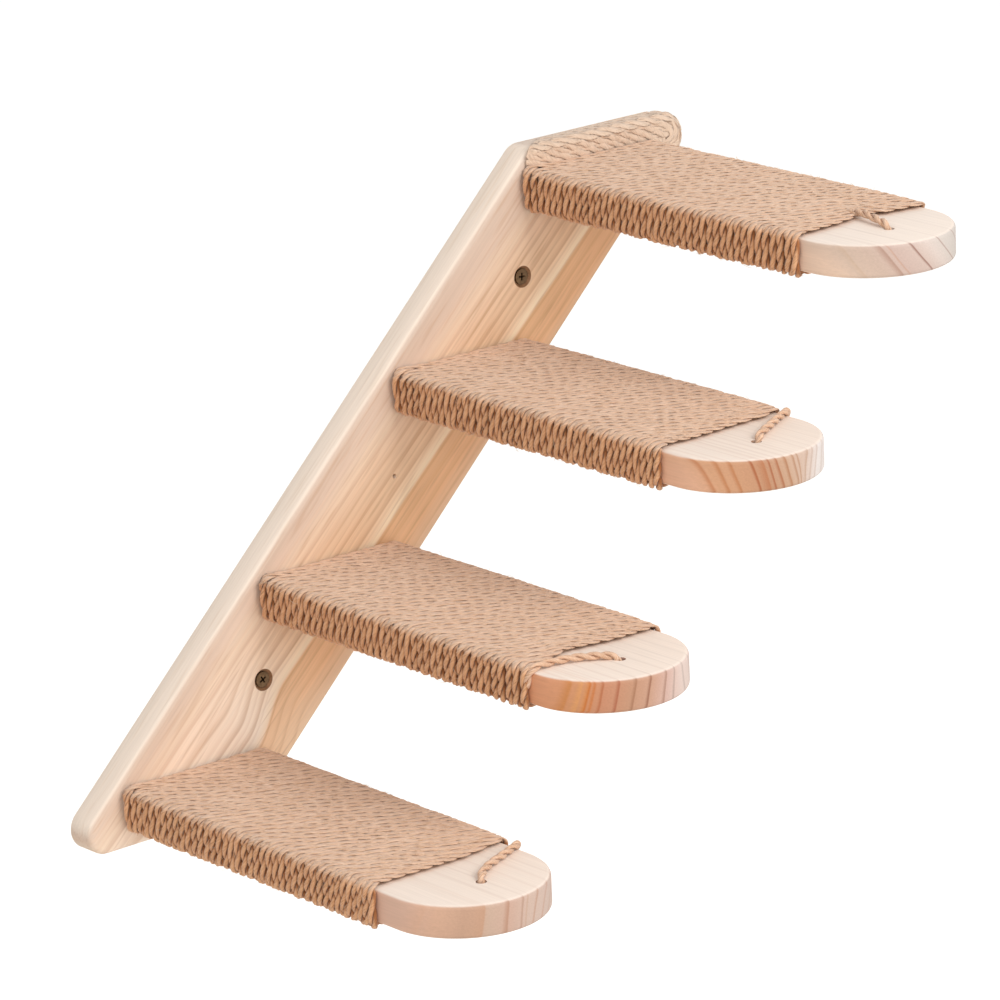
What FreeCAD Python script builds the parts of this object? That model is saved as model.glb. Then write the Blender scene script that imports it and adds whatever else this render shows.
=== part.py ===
import FreeCAD, Part
import math
import os
from collections import namedtuple

# Wall-mounted stairs for a cat: a slanting wall board carries four round-nosed steps wound with jute twine.
# X runs along the wall, +Y goes into the wall, Z is up. The origin is the middle of the board's back face.
# Lengths are in millimetres.

# Steps and their spacing
step_count = 4
step_width = 100
step_length = 300
step_thickness = 20
step_rise = 105
step_run = 110
step_edge_round = 2.5

# Wall board, a length of the same stock with level ends
board_width = 100
board_thickness = 20
board_end_margin = 15
board_corner_radius = 13.5
board_front_round = 4
centre_hole_diameter = 3

# Screws that hold the board on the wall
wall_screw_spacing = 300
wall_screw_diameter = 5
wall_screw_length = 60
wall_screw_head = 10
wall_screw_rim = 0.5
wall_screw_shank = 3.6
wall_screw_thread = 40
wall_screw_point = 6
wall_screw_sink = 0.4
wall_screw_recess_width = 5
wall_screw_recess_wing = 1.2
wall_screw_recess_depth = 2.6

# Screws that hold each step, driven from the back of the board
step_screws_per_step = 2
step_screw_spacing = 60
step_screw_diameter = 4.5
step_screw_length = 60
step_screw_head = 8.5
step_screw_rim = 0.5
step_screw_shank = 3.2
step_screw_thread = 40
step_screw_point = 5
step_screw_sink = 0.3
step_screw_recess_width = 4.4
step_screw_recess_wing = 1.1
step_screw_recess_depth = 2.2
step_screw_sides = 10
pilot_spare_depth = 2
screw_clearance = 0.1
recess_bottom_share = 0.5

# Twine wound round each step: one flattened tube with a crowned back, bent over a facet at each corner
bare_nose_length = 60
twine_turns = 20
twine_thickness = 4.2
twine_shoulder_share = 0.84
twine_shoulder_height_share = 0.55
twine_turn_gap = 0.55
twine_clearance = 0.3
twine_jog_inset = 2
twine_end_stub = 2.4

# End of the twine, laid over the bare nose and tucked into a hole
tail_hole_diameter = 6.5
tail_hole_inset = 34
tail_diameter = 4.2
tail_sides = 6
tail_bend_radius = 4.5
tail_depth = 14
tail_start_shares = (0.94, 0.1, 0.9, 0.46)
tail_lead_shares = (0.84, 0.24, 0.8, 0.4)
tail_lead_reach_share = 0.5

# Twine laid over the board's upper end, all but a bare rim along its back edge
binding_start_share = 0.05
binding_bare_rim = 6

# Lengths that only help the cutting and the search for edges
cut_overrun = 1
edge_tolerance = 0.1

# A tube turned this way is mitred where its path turns
mitred_turns = 1

# Worked out from the sizes above
slope = math.atan2(step_rise, step_run)
front_face = -board_thickness
board_height = (step_count - 1) * step_rise + step_thickness + 2 * board_end_margin
twine_build = twine_clearance + twine_thickness
twine_wound_length = step_length - bare_nose_length
twine_pitch = twine_wound_length / twine_turns
twine_turn_width = twine_pitch - twine_turn_gap
tail_hole_reach = step_length - tail_hole_inset

# Share of a round's radius that one facet, tangent to the round's middle, takes off each face
facet_share = 1 - math.tan(math.pi / 8)

screw_sizes = "diameter length head rim shank thread point sink recess_width recess_wing recess_depth"
Screw = namedtuple("Screw", screw_sizes)
wall_screw = Screw(
    wall_screw_diameter,
    wall_screw_length,
    wall_screw_head,
    wall_screw_rim,
    wall_screw_shank,
    wall_screw_thread,
    wall_screw_point,
    wall_screw_sink,
    wall_screw_recess_width,
    wall_screw_recess_wing,
    wall_screw_recess_depth,
)
step_screw = Screw(
    step_screw_diameter,
    step_screw_length,
    step_screw_head,
    step_screw_rim,
    step_screw_shank,
    step_screw_thread,
    step_screw_point,
    step_screw_sink,
    step_screw_recess_width,
    step_screw_recess_wing,
    step_screw_recess_depth,
)


def vec(x, y, z):
    return FreeCAD.Vector(x, y, z)


def flat_face(points):
    return Part.Face(Part.makePolygon(points + points[:1]))


def step_seat(index):
    """Middle of the face where a step meets the board."""
    place = index - (step_count - 1) / 2
    return vec(place * step_run, front_face, place * step_rise)


def on_step(seat, across, reach, up):
    """A point given across a step, out from the board and up from mid thickness."""
    return seat + vec(across, -reach, up)


def corner_arc(before, corner, after, radius):
    """Start, middle and end of the arc that rounds a corner between two straight runs."""
    back = (before - corner).normalize()
    ahead = (after - corner).normalize()
    half_turn = (math.pi - back.getAngle(ahead)) / 2
    to_tangent = radius * math.tan(half_turn)
    to_arc = radius / math.cos(half_turn) - radius
    middle = corner + (back + ahead).normalize() * to_arc
    return corner + back * to_tangent, middle, corner + ahead * to_tangent


def rounded_face(corners, radius):
    """Flat face with every corner rounded alike."""
    arcs = []
    for index, corner in enumerate(corners):
        after = corners[(index + 1) % len(corners)]
        arcs.append(corner_arc(corners[index - 1], corner, after, radius))
    edges = []
    for index, arc in enumerate(arcs):
        edges.append(Part.Arc(*arc).toShape())
        edges.append(Part.LineSegment(arc[-1], arcs[(index + 1) % len(arcs)][0]).toShape())
    return Part.Face(Part.Wire(edges))


def faceted_path(points, radii):
    """Open wire of straight runs; a corner with a radius is cut by one facet tangent to its arc."""
    path = [points[0]]
    for before, corner, after, radius in zip(points, points[1:], points[2:], radii):
        if radius:
            back = (before - corner).normalize()
            ahead = (after - corner).normalize()
            turn = math.pi - back.getAngle(ahead)
            leg = radius * (math.tan(turn / 2) - math.tan(turn / 4))
            path += [corner + back * leg, corner + ahead * leg]
        else:
            path.append(corner)
    return Part.makePolygon(path + points[-1:])


def sweep(path, outline):
    """Solid tube along a faceted path, mitred where the path turns."""
    tube = Part.BRepOffsetAPI.MakePipeShell(path)
    tube.setTransitionMode(mitred_turns)
    tube.add(Part.makePolygon(outline + outline[:1]))
    tube.build()
    tube.makeSolid()
    return Part.Solid(tube.shape())


def front_edges(shape, level):
    """Edges that lie wholly in the plane Y = level."""
    found = []
    for edge in shape.Edges:
        box = edge.BoundBox
        if abs(box.YMin - level) + abs(box.YMax - level) < edge_tolerance:
            found.append(edge)
    return found


def screw_profile(screw):
    """Half section of a part-threaded screw as radius and depth pairs, from the head to the point."""
    head = screw.head / 2
    shank = screw.shank / 2
    thread = screw.diameter / 2
    under_rim = screw.sink + screw.rim
    end = screw.sink + screw.length
    return [
        (0, screw.sink),
        (head, screw.sink),
        (head, under_rim),
        (shank, under_rim + head - shank),
        (shank, end - screw.thread),
        (thread, end - screw.thread),
        (thread, end - screw.point),
        (0, end),
    ]


def cross_recess(screw, base, inward):
    """Two tapered blades that cut the driver's cross into a screw's head."""
    wide = screw.recess_width / 2
    narrow = wide * recess_bottom_share
    face = screw.sink
    bottom = face + screw.recess_depth
    half = ((wide, face - cut_overrun), (wide, face), (narrow, bottom))
    outline = half + tuple((-reach, depth) for reach, depth in reversed(half))
    blades = []
    for along, across in ((vec(1, 0, 0), vec(0, 0, 1)), (vec(0, 0, 1), vec(1, 0, 0))):
        start = base - across * (screw.recess_wing / 2)
        points = [start + along * reach + vec(0, inward * depth, 0) for reach, depth in outline]
        blades.append(flat_face(points).extrude(across * screw.recess_wing))
    return blades


def turned(profile, base, inward):
    """Round solid about an axis along Y; inward is +1 towards the wall and -1 away from it."""
    points = [base + vec(radius, inward * depth, 0) for radius, depth in profile]
    return flat_face(points).revolve(base, vec(0, 1, 0), 360)


def turned_with_sides(profile, base, inward, sides):
    """The same solid with flat sides, for a screw that wall and wood hide."""
    rings = []
    for radius, depth in profile[1:-1]:
        ring = []
        for number in range(sides):
            angle = math.tau * number / sides
            spot = vec(radius * math.cos(angle), inward * depth, radius * math.sin(angle))
            ring.append(base + spot)
        rings.append(ring)
    tip = base + vec(0, inward * profile[-1][1], 0)
    faces = [flat_face(rings[0])]
    for number in range(sides):
        following = (number + 1) % sides
        for ring, deeper in zip(rings, rings[1:]):
            faces.append(flat_face([ring[number], ring[following], deeper[following], deeper[number]]))
        faces.append(flat_face([rings[-1][number], rings[-1][following], tip]))
    return Part.Solid(Part.Shell(faces))


def screw_hole(screw, base, inward):
    """Hole and countersink for a screw, open on both faces of the board."""
    shank = screw.diameter / 2 + screw_clearance
    mouth = screw.head / 2 + screw_clearance + screw.sink + screw.rim
    through = board_thickness + cut_overrun
    profile = [
        (0, -cut_overrun),
        (mouth + cut_overrun, -cut_overrun),
        (shank, mouth - shank),
        (shank, through),
        (0, through),
    ]
    return turned(profile, base, inward)


def wall_screw_places():
    """Where the two wall screws enter the front of the board, lower first."""
    half = wall_screw_spacing / 2
    reach = vec(half * math.cos(slope), 0, half * math.sin(slope))
    middle = vec(0, front_face, 0)
    return [middle - reach, middle + reach]


def step_screw_places(index):
    """Where a step's screws enter the back of the board."""
    seat = step_seat(index)
    places = []
    for number in range(step_screws_per_step):
        across = (number - (step_screws_per_step - 1) / 2) * step_screw_spacing
        places.append(vec(seat.x + across, 0, seat.z))
    return places


def board_slab(grow, front, back):
    """Prism of the board's slanting outline, grown all round, between two depths."""
    top = board_height / 2 + grow
    half_chord = (board_width / 2 + grow) / math.sin(slope)
    lean = top / math.tan(slope)
    corners = [
        vec(-lean - half_chord, front, -top),
        vec(half_chord - lean, front, -top),
        vec(lean + half_chord, front, top),
        vec(lean - half_chord, front, top),
    ]
    face = rounded_face(corners, board_corner_radius + grow)
    return face.extrude(vec(0, back - front, 0))


def eased_front(slab, front, radius):
    """The slab with its front edges eased all round."""
    return slab.makeChamfer(radius * facet_share, front_edges(slab, front))


def wall_board():
    """Board with eased front edges and all its screw holes."""
    board = eased_front(board_slab(0, front_face, 0), front_face, board_front_round)
    holes = [screw_hole(wall_screw, place, 1) for place in wall_screw_places()]
    for index in range(step_count):
        holes += [screw_hole(step_screw, place, -1) for place in step_screw_places(index)]
    start = vec(0, front_face - cut_overrun, 0)
    through = board_thickness + 2 * cut_overrun
    holes.append(Part.makeCylinder(centre_hole_diameter / 2, through, start, vec(0, 1, 0)))
    return board.cut(holes)


def step_blank(seat):
    """Round-nosed board, its long edges and its nose eased above and below."""
    half = step_width / 2
    under = -step_thickness / 2
    straight = step_length - half
    near = [on_step(seat, -half, 0, under), on_step(seat, -half, straight, under)]
    far = [on_step(seat, half, straight, under), on_step(seat, half, 0, under)]
    nose = on_step(seat, 0, step_length, under)
    outline = [
        Part.LineSegment(*near).toShape(),
        Part.Arc(near[-1], nose, far[0]).toShape(),
        Part.LineSegment(*far).toShape(),
        Part.LineSegment(far[-1], near[0]).toShape(),
    ]
    blank = Part.Face(Part.Wire(outline)).extrude(vec(0, 0, step_thickness))
    eased = []
    for edge in blank.Edges:
        box = edge.BoundBox
        if box.ZLength < edge_tolerance and box.YLength > edge_tolerance:
            eased.append(edge)
    return blank.makeChamfer(step_edge_round * facet_share, eased)


def step_board(index):
    """Step with pilot holes in its seat and the twine's hole in its nose."""
    seat = step_seat(index)
    cuts = []
    depth = step_screw.length + step_screw.sink - board_thickness + pilot_spare_depth
    for place in step_screw_places(index):
        start = vec(place.x, front_face + cut_overrun, place.z)
        radius = step_screw.diameter / 2 + screw_clearance
        cuts.append(Part.makeCylinder(radius, depth + cut_overrun, start, vec(0, -1, 0)))
    start = on_step(seat, 0, tail_hole_reach, -step_thickness / 2 - cut_overrun)
    through = step_thickness + 2 * cut_overrun
    cuts.append(Part.makeCylinder(tail_hole_diameter / 2, through, start, vec(0, 0, 1)))
    return step_blank(seat).cut(cuts)


def winding_points(seat):
    """Corners of the winding's middle line, with the bend radius at each; a step-over has none."""
    to_middle = twine_clearance + twine_thickness / 2
    side = step_width / 2 + to_middle
    top = step_thickness / 2 + to_middle
    bend = step_edge_round + to_middle
    jog = side - bend - twine_jog_inset
    reach = twine_pitch / 2
    points = [on_step(seat, bend + twine_end_stub - side, reach, -top)]
    radii = []
    for turn in range(twine_turns):
        for across, up in ((-side, -top), (-side, top), (side, top), (side, -top)):
            points.append(on_step(seat, across, reach, up))
            radii.append(bend)
        if turn < twine_turns - 1:
            points.append(on_step(seat, jog, reach, -top))
            reach += twine_pitch
            points.append(on_step(seat, -jog, reach, -top))
            radii += [0, 0]
    points.append(on_step(seat, side - bend - twine_end_stub, reach, -top))
    return points, radii


def twine_wrap(index):
    """Winding that climbs one side, crosses the top and steps over to its next turn underneath."""
    points, radii = winding_points(step_seat(index))
    path = faceted_path(points, radii)
    start = points[0]
    half = twine_turn_width / 2
    shoulder = half * twine_shoulder_share
    base = twine_thickness / 2
    shoulder_height = base - twine_thickness * twine_shoulder_height_share
    outline = [
        start + vec(0, half, base),
        start + vec(0, -half, base),
        start + vec(0, -shoulder, shoulder_height),
        start + vec(0, 0, -base),
        start + vec(0, shoulder, shoulder_height),
    ]
    if index == 0:
        report_gap(path)
    return sweep(path, outline)


def report_gap(path):
    """Print the winding's least gap to itself, measured on points of its middle line."""
    spacing = twine_thickness
    points = path.discretize(Number=int(path.Length / spacing))
    loop = 2 * (step_width + step_thickness)
    skip = int(loop / 2 / spacing)
    window = int(loop * 2 / spacing)
    least = path.Length
    for number, point in enumerate(points):
        for other in points[number + skip : number + window]:
            least = min(least, point.distanceToPoint(other))
    print("winding: length", round(path.Length), "least gap to itself", round(least - twine_turn_width, 2))


def twine_tail(index):
    """Free end of the twine: over the bare nose and down its hole."""
    seat = step_seat(index)
    radius = tail_diameter / 2
    up = step_thickness / 2 + twine_clearance + radius
    first = twine_wound_length + radius
    lead = first + (tail_hole_reach - first) * tail_lead_reach_share
    points = [
        on_step(seat, (tail_start_shares[index] - 1 / 2) * step_width, first, up),
        on_step(seat, (tail_lead_shares[index] - 1 / 2) * step_width, lead, up),
        on_step(seat, 0, tail_hole_reach, up),
        on_step(seat, 0, tail_hole_reach, up - tail_depth),
    ]
    path = faceted_path(points, [0, tail_bend_radius])
    across = vec(0, 0, 1).cross(points[0] - points[1]).normalize()
    outline = []
    for number in range(tail_sides):
        angle = math.tau * number / tail_sides
        spot = across * (radius * math.cos(angle)) + vec(0, 0, radius * math.sin(angle))
        outline.append(points[0] + spot)
    tail = sweep(path, outline)
    area = tail_sides * radius**2 * math.sin(math.tau / tail_sides) / 2
    share = round(tail.Volume / area / path.Length, 3)
    print("tail", index + 1, "length", round(path.Length, 1), "volume over section times length", share)
    return tail


def board_end_binding():
    """Twine laid over the board's upper end, round its sharp corner and down to the top step."""
    front = front_face - twine_build
    outer = eased_front(board_slab(twine_build, front, 0), front, board_front_round + twine_build)
    inner = board_slab(twine_clearance, front_face - twine_clearance, cut_overrun)
    bottom = step_seat(step_count - 1).z + step_thickness / 2 + twine_build + twine_clearance
    top = board_height / 2 + twine_build + cut_overrun
    half_chord = board_width / 2 / math.sin(slope)
    start = (2 * binding_start_share - 1) * half_chord
    end = half_chord + twine_build + cut_overrun
    corners = []
    for level, across in ((bottom, start), (bottom, end), (top, end), (top, start)):
        corners.append(vec(level / math.tan(slope) + across, front - cut_overrun, level))
    depth = cut_overrun - front - binding_bare_rim
    limits = flat_face(corners).extrude(vec(0, depth, 0))
    return outer.cut(inner).common(limits)


def main():
    os.makedirs("parts", exist_ok=True)
    shapes = {"wall_board": wall_board(), "board_end_binding": board_end_binding()}
    for name, place in zip(("wall_screw_lower", "wall_screw_upper"), wall_screw_places()):
        whole = turned(screw_profile(wall_screw), place, 1)
        shapes[name] = whole.cut(cross_recess(wall_screw, place, 1))
    for index in range(step_count):
        number = index + 1
        shapes[f"step_board_{number}"] = step_board(index)
        shapes[f"twine_wrap_{number}"] = twine_wrap(index)
        shapes[f"twine_tail_{number}"] = twine_tail(index)
        screws = []
        for place in step_screw_places(index):
            whole = turned_with_sides(screw_profile(step_screw), place, -1, step_screw_sides)
            screws.append(whole.cut(cross_recess(step_screw, place, -1)))
        shapes[f"step_screws_{number}"] = Part.makeCompound(screws)
    for name, shape in shapes.items():
        shape.exportStep(f"parts/{name}.step")
        box = shape.BoundBox
        print(name, "valid", shape.isValid(), "solids", len(shape.Solids), "volume", round(shape.Volume))
        print("  from", round(box.XMin, 1), round(box.YMin, 1), round(box.ZMin, 1), end=" ")
        print("to", round(box.XMax, 1), round(box.YMax, 1), round(box.ZMax, 1))


main()
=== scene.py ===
import math

import bpy
import bmesh
from mathutils import Matrix, Vector, noise


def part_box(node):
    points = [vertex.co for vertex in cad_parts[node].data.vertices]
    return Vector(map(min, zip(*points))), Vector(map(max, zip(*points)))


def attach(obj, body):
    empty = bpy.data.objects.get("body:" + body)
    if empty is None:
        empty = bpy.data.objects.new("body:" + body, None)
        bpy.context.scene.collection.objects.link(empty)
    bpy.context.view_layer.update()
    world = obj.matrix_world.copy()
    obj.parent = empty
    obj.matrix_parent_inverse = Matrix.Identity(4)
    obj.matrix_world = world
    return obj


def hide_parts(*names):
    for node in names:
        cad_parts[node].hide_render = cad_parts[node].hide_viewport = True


# Wall-mounted cat stairs in pine and jute twine. Metres, in the CAD's own frame:
# X along the wall, +Y into the wall, Z up, the origin in the middle of the board's back face.

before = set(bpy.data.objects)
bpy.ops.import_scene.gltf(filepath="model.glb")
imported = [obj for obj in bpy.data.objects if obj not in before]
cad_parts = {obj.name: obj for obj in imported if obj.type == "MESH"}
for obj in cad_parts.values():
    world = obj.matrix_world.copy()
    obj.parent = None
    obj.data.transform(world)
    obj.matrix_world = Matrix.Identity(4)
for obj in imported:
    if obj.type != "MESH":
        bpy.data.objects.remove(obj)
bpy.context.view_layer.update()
mm = 0.001
stepNumbers = (1, 2, 3, 4)  # from the bottom
slope = math.atan2(105, 110)  # rise over run from step to step, in mm
alongBoard = Vector((math.cos(slope), 0, math.sin(slope)))
acrossBoard = Vector((math.sin(slope), 0, -math.cos(slope)))  # towards the lower right


# Small helpers


def linear(hexColour):
    channels = [int(hexColour[i : i + 2], 16) / 255 for i in (0, 2, 4)]
    return [c / 12.92 if c <= 0.04045 else ((c + 0.055) / 1.055) ** 2.4 for c in channels] + [1]


def feed(node, links):  # each input gets a socket, a node's first output or a plain value
    for key, value in links.items():
        if isinstance(value, bpy.types.Node):
            value = value.outputs[0]
        if isinstance(value, bpy.types.NodeSocket):
            node.id_data.links.new(value, node.inputs[key])
        else:
            node.inputs[key].default_value = value


def addNode(tree, kind, links=None, **settings):
    node = tree.nodes.new(kind)
    for key, value in settings.items():
        setattr(node, key, value)
    feed(node, links or {})
    return node


def newMaterial(name):
    material = bpy.data.materials.new(name)
    material.use_nodes = True
    tree = material.node_tree
    tree.nodes.clear()
    shader = addNode(tree, "ShaderNodeBsdfPrincipled")
    addNode(tree, "ShaderNodeOutputMaterial", {"Surface": shader}, is_active_output=True)
    return material, tree, shader


def newObject(name, data):
    piece = bpy.data.objects.new(name, data)
    bpy.context.scene.collection.objects.link(piece)
    return piece


def objectFrom(name, bm):
    mesh = bpy.data.meshes.new(name)
    bm.to_mesh(mesh)
    bm.free()
    return newObject(name, mesh)


def settle(piece):  # apply the modifiers and leave a plain mesh
    graph = bpy.context.evaluated_depsgraph_get()
    solid = bpy.data.meshes.new_from_object(piece.evaluated_get(graph))
    piece.modifiers.clear()
    piece.data = solid
    return piece


def smoothBy(mesh, degrees):
    mesh.polygons.foreach_set("use_smooth", [True] * len(mesh.polygons))
    mesh.set_sharp_from_angle(angle=math.radians(degrees))


# Camera, at the photograph's angle

view = {
    "position": (-2.0695, -2.5969, 0.9948),
    "azimuth": -39.87,  # degrees, from straight in front of the wall
    "elevation": 17.04,
    "roll": -2.43,
    "lens": 204.07,
    "sensor": 36,
    "farthest": 100,
}


def makeCamera():
    azimuth, elevation, roll = (math.radians(view[key]) for key in ("azimuth", "elevation", "roll"))
    level = math.cos(elevation)
    back = Vector((math.sin(azimuth) * level, -math.cos(azimuth) * level, math.sin(elevation)))
    right = (-back).cross(Vector((0, 0, 1))).normalized()
    up = back.cross(right)
    right, up = (right * math.cos(roll) + up * math.sin(roll), up * math.cos(roll) - right * math.sin(roll))
    lens = bpy.data.cameras.new("camera")
    lens.lens = view["lens"]
    lens.sensor_width = view["sensor"]
    lens.clip_end = view["farthest"]
    camera = newObject("camera", lens)
    place = Matrix((right, up, back)).transposed().to_4x4()
    place.translation = view["position"]
    camera.matrix_world = place
    bpy.context.scene.camera = camera


# Floor, world and lamps

studio = {
    "floorLevel": -0.62,
    "floorSize": 14,
    "floorColour": "F6F4F0",
    "floorGlow": 0.45,  # seen by the camera only, so the floor stays white and keeps its shadow
    "roomStrength": 0.58,
    "lamps": {"key": ((0.45, -2.7, 1.95), 2.0, 60), "fill": ((-2.0, -1.9, 1.2), 2.0, 20)},  # place, size and power
}


def makeStudio():
    half, level = studio["floorSize"] / 2, studio["floorLevel"]
    bm = bmesh.new()
    bm.faces.new([bm.verts.new((x * half, y * half, level)) for x, y in ((-1, -1), (1, -1), (1, 1), (-1, 1))])
    floor = objectFrom("floor", bm)
    material, tree, shader = newMaterial("paleFloor")
    path = addNode(tree, "ShaderNodeLightPath").outputs
    glow = addNode(tree, "ShaderNodeMath", {0: path["Is Camera Ray"], 1: studio["floorGlow"]}, operation="MULTIPLY")
    feed(shader, {"Base Color": linear(studio["floorColour"]), "Roughness": 0.9, "Emission Color": (1, 1, 1, 1),
                  "Emission Strength": glow})
    floor.data.materials.append(material)

    world = bpy.data.worlds.new("room")
    bpy.context.scene.world = world
    world.use_nodes = True
    tree = world.node_tree
    tree.nodes.clear()
    path = addNode(tree, "ShaderNodeLightPath").outputs
    seen = path["Is Camera Ray"]
    for ray in ("Is Glossy Ray", "Is Transmission Ray"):
        seen = addNode(tree, "ShaderNodeMath", {0: seen, 1: path[ray]}, operation="MAXIMUM")
    strength = addNode(tree, "ShaderNodeMapRange", {0: seen, 3: studio["roomStrength"], 4: 1.0})
    light = addNode(tree, "ShaderNodeBackground", {"Color": (1, 1, 1, 1), "Strength": strength})
    addNode(tree, "ShaderNodeOutputWorld", {"Surface": light})

    for name, (place, size, power) in studio["lamps"].items():
        lamp = bpy.data.lights.new(name, "AREA")
        lamp.shape = "DISK"
        lamp.size = size
        lamp.energy = power
        piece = newObject(name, lamp)
        piece.location = place
        piece.rotation_euler = (-Vector(place)).to_track_quat("-Z", "Y").to_euler()
    bpy.context.scene.view_settings.view_transform = "Standard"


# Pine

pine = {
    "top": "F4E4D6",  # planed top and bottom faces; the sides get darker tones, partly for end grain and partly as painted shade
    "roughness": 0.55,
    "ior": 1.45,
    "fibreScale": (900, 900, 16),  # to the metre: streaks 1 mm wide and 60 mm long, coarser than real fibres to show
    "fibreBump": 0.3 * mm,
    "stepSway": 1.8 * mm,  # by which the rings wander
    "stepDrift": (45, 22, 9),  # to the metre: over 22 to 110 mm
    "boardSway": 2.4 * mm,
    "boardDrift": (30, 30, 8),
    "ringFade": 0.7,  # mm in which the dark late wood of a ring ends
    "rampRings": 8,  # rings to a colour ramp, which holds only so many stops
}

toneReach = (-50, -43, -33, -20, -7, 5, 20)  # mm from the middle of a step, for its seven ground tones
stepSpan = (-50, 50)  # mm that its colour ramps cover

# Lean: that of the rings at the left and the right, and between which mm it changes
# Each ring: mm across the step where its dark late wood ends, mm that it took to darken, colour and strength
stepGrain = {
    1: {
        "ground": ("D8AF98", "D2A78C", "BD967D", "BFA18D", "C19F8D", "C5AA9A", "C8AFA1"),
        "lean": (0.12, 0.62, 0, 30),
        "rings": ((-46.5, 5, "D9A27C", 0.2), (-23.4, 10, "B98460", 0.5), (-9.2, 3.5, "AA7C62", 0.8),
                  (1, 1.6, "A8806C", 0.75), (4.5, 1.2, "B48A72", 0.5), (12.4, 2, "B48972", 0.75),
                  (21.3, 2.2, "B98E78", 0.7), (30, 2.4, "BC927C", 0.6), (39, 2.6, "BC927C", 0.5)),
    },
    2: {
        "ground": ("DA9972", "C98C61", "BE8363", "B7886B", "BD927A", "C9A698", "DAC4B9"),
        "lean": (0.18, -0.2, 10, 24),
        "rings": ((-45.8, 2.2, "C67F42", 0.85), (-42.6, 1.6, "DB9A5C", 0.6), (-39.8, 2, "C06A22", 0.95),
                  (-38, 1, "BF6A28", 0.8), (-34.5, 1.3, "A5592E", 0.8), (-26.6, 2, "9E5636", 0.85),
                  (-17, 2.2, "97684A", 0.85), (-8, 2, "86543A", 0.9), (3.5, 2.2, "98705C", 0.8),
                  (12, 2, "9C8478", 0.7), (22, 2.5, "A8948A", 0.6), (34, 3, "A8948A", 0.5)),
    },
    3: {
        "ground": ("E4B191", "D09C77", "C3916E", "B48464", "BE997E", "C8AD9B", "DFD4CE"),
        "lean": (-0.28, 0.25, 1, 9),
        "rings": ((-45, 1.6, "B9703F", 0.75), (-39.6, 1.8, "B4703F", 0.8), (-34.5, 1.8, "AE6C3C", 0.8),
                  (-25.2, 1.4, "9C4F22", 0.95), (-19.5, 4.5, "AC6A42", 0.75), (-16.3, 1.2, "9A5228", 0.9),
                  (-11.4, 2, "9E5C34", 0.9), (-6, 2, "A0683F", 0.85), (-0.6, 1.8, "A47350", 0.8),
                  (2.8, 1.3, "A47350", 0.7), (7.5, 1.8, "B08A70", 0.7), (12.5, 1.8, "B59480", 0.6),
                  (18, 2, "B59480", 0.5), (27, 3, "B59480", 0.4)),
    },
    4: {
        "ground": ("E8C8B0", "D0B6A3", "C5AB9A", "C2A89C", "C6AFA3", "D2C1B7", "CDC2B9"),
        "lean": (-0.45, -1.05, -45, 15),
        "rings": ((-41, 2.5, "C3A284", 0.35), (-25, 4, "A5806E", 0.8), (-21, 1.3, "B98C74", 0.6),
                  (-6.5, 1.6, "86594A", 0.95), (15.5, 1.1, "9A7668", 0.8), (33, 1.3, "9A7668", 0.6)),
    },
}

# The tones and rings of the board go by mm from the heartwood's edge
boardGrain = {
    "span": (-75, 40),  # mm that its colour ramps cover
    "heartLine": (13.5, 22.5),  # mm from the middle line, at the lower and the upper screw
    "footBend": 13,  # mm that the heartwood's edge gives way near the lower end
    "edge": "F6E3D1",  # the plank's long upper edge
    # Partly painted, here and at the foot: the tones near the upper rounded edge are darker than the wood, a painted
    # shade where the lamps fall fullest, and those towards the heartwood lighter, a painted light where the steps shade
    # the face
    "tones": ((-72, "D0B9A7"), (-62, "D3B9A5"), (-54, "DCC1AC"), (-45, "E9CDB2"), (-36, "ECCAAB"), (-20, "EEC9A5"),
              (-12, "F0CBA6"), (-6, "FADAB7"), (-2, "FFE6C4"), (0.4, "EDBC8E"), (18, "F2BD8F"), (30, "EEC4A0")),
    # paler, for the lower end
    "footTones": ((-72, "D0B9A7"), (-62, "D3B9A5"), (-54, "DCC1AC"), (-45, "ECD1B8"), (-36, "F9E0C9"), (-24, "FFEAD5"),
                  (-6, "FFECD8"), (-1, "FFE5CA"), (0.8, "FBD0A8"), (18, "FFD8B3"), (30, "FFDBB8")),
    "rings": ((-52, 2, "D9B596", 0.25), (-45.5, 2.5, "D3AA8A", 0.25), (-39.5, 4, "C89C7C", 0.45),
              (-34.5, 2, "C89C7C", 0.2), (-30.3, 4, "C4966F", 0.45), (-25.5, 2, "C4966F", 0.2), (-20, 4, "BC8C68", 0.5),
              (-15.5, 2, "BC8C68", 0.2), (-9.8, 4, "B88660", 0.5), (-6.8, 1.5, "B88660", 0.2), (1.5, 2, "C08A5C", 0.4),
              (9, 3, "C6925F", 0.3), (17, 3, "C6925F", 0.3), (26, 3, "C6925F", 0.25)),
    "fleckScale": (480, 480, 26),  # to the metre: resin canals 2 mm wide and 40 mm long, wider than real ones to show
    "fleckFace": "B8895F",
    "fleckEdge": "DDBF9F",
}


def woodNoise(tree, axes, scale, shift, detail, roughness=0.5):  # axes run across, through and along the grain
    place = addNode(tree, "ShaderNodeCombineXYZ", dict(enumerate(axes)))
    stretched = addNode(tree, "ShaderNodeMapping", {"Vector": place, "Location": shift, "Scale": scale})
    return addNode(tree, "ShaderNodeTexNoise",
                   {"Vector": stretched, "Scale": 1.0, "Detail": detail, "Roughness": roughness})


def setStops(ramp, stops, span):  # a stop holds its mm, a colour and, where it isn't 1, a strength
    low, high = span
    points = ramp.color_ramp.elements
    for index, (reach, colour, *strength) in enumerate(stops):
        position = (reach - low) / (high - low)
        point = points[index] if index < 2 else points.new(position)
        point.position = position
        point.color = linear(colour)[:3] + (strength or [1])
    return ramp


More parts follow.
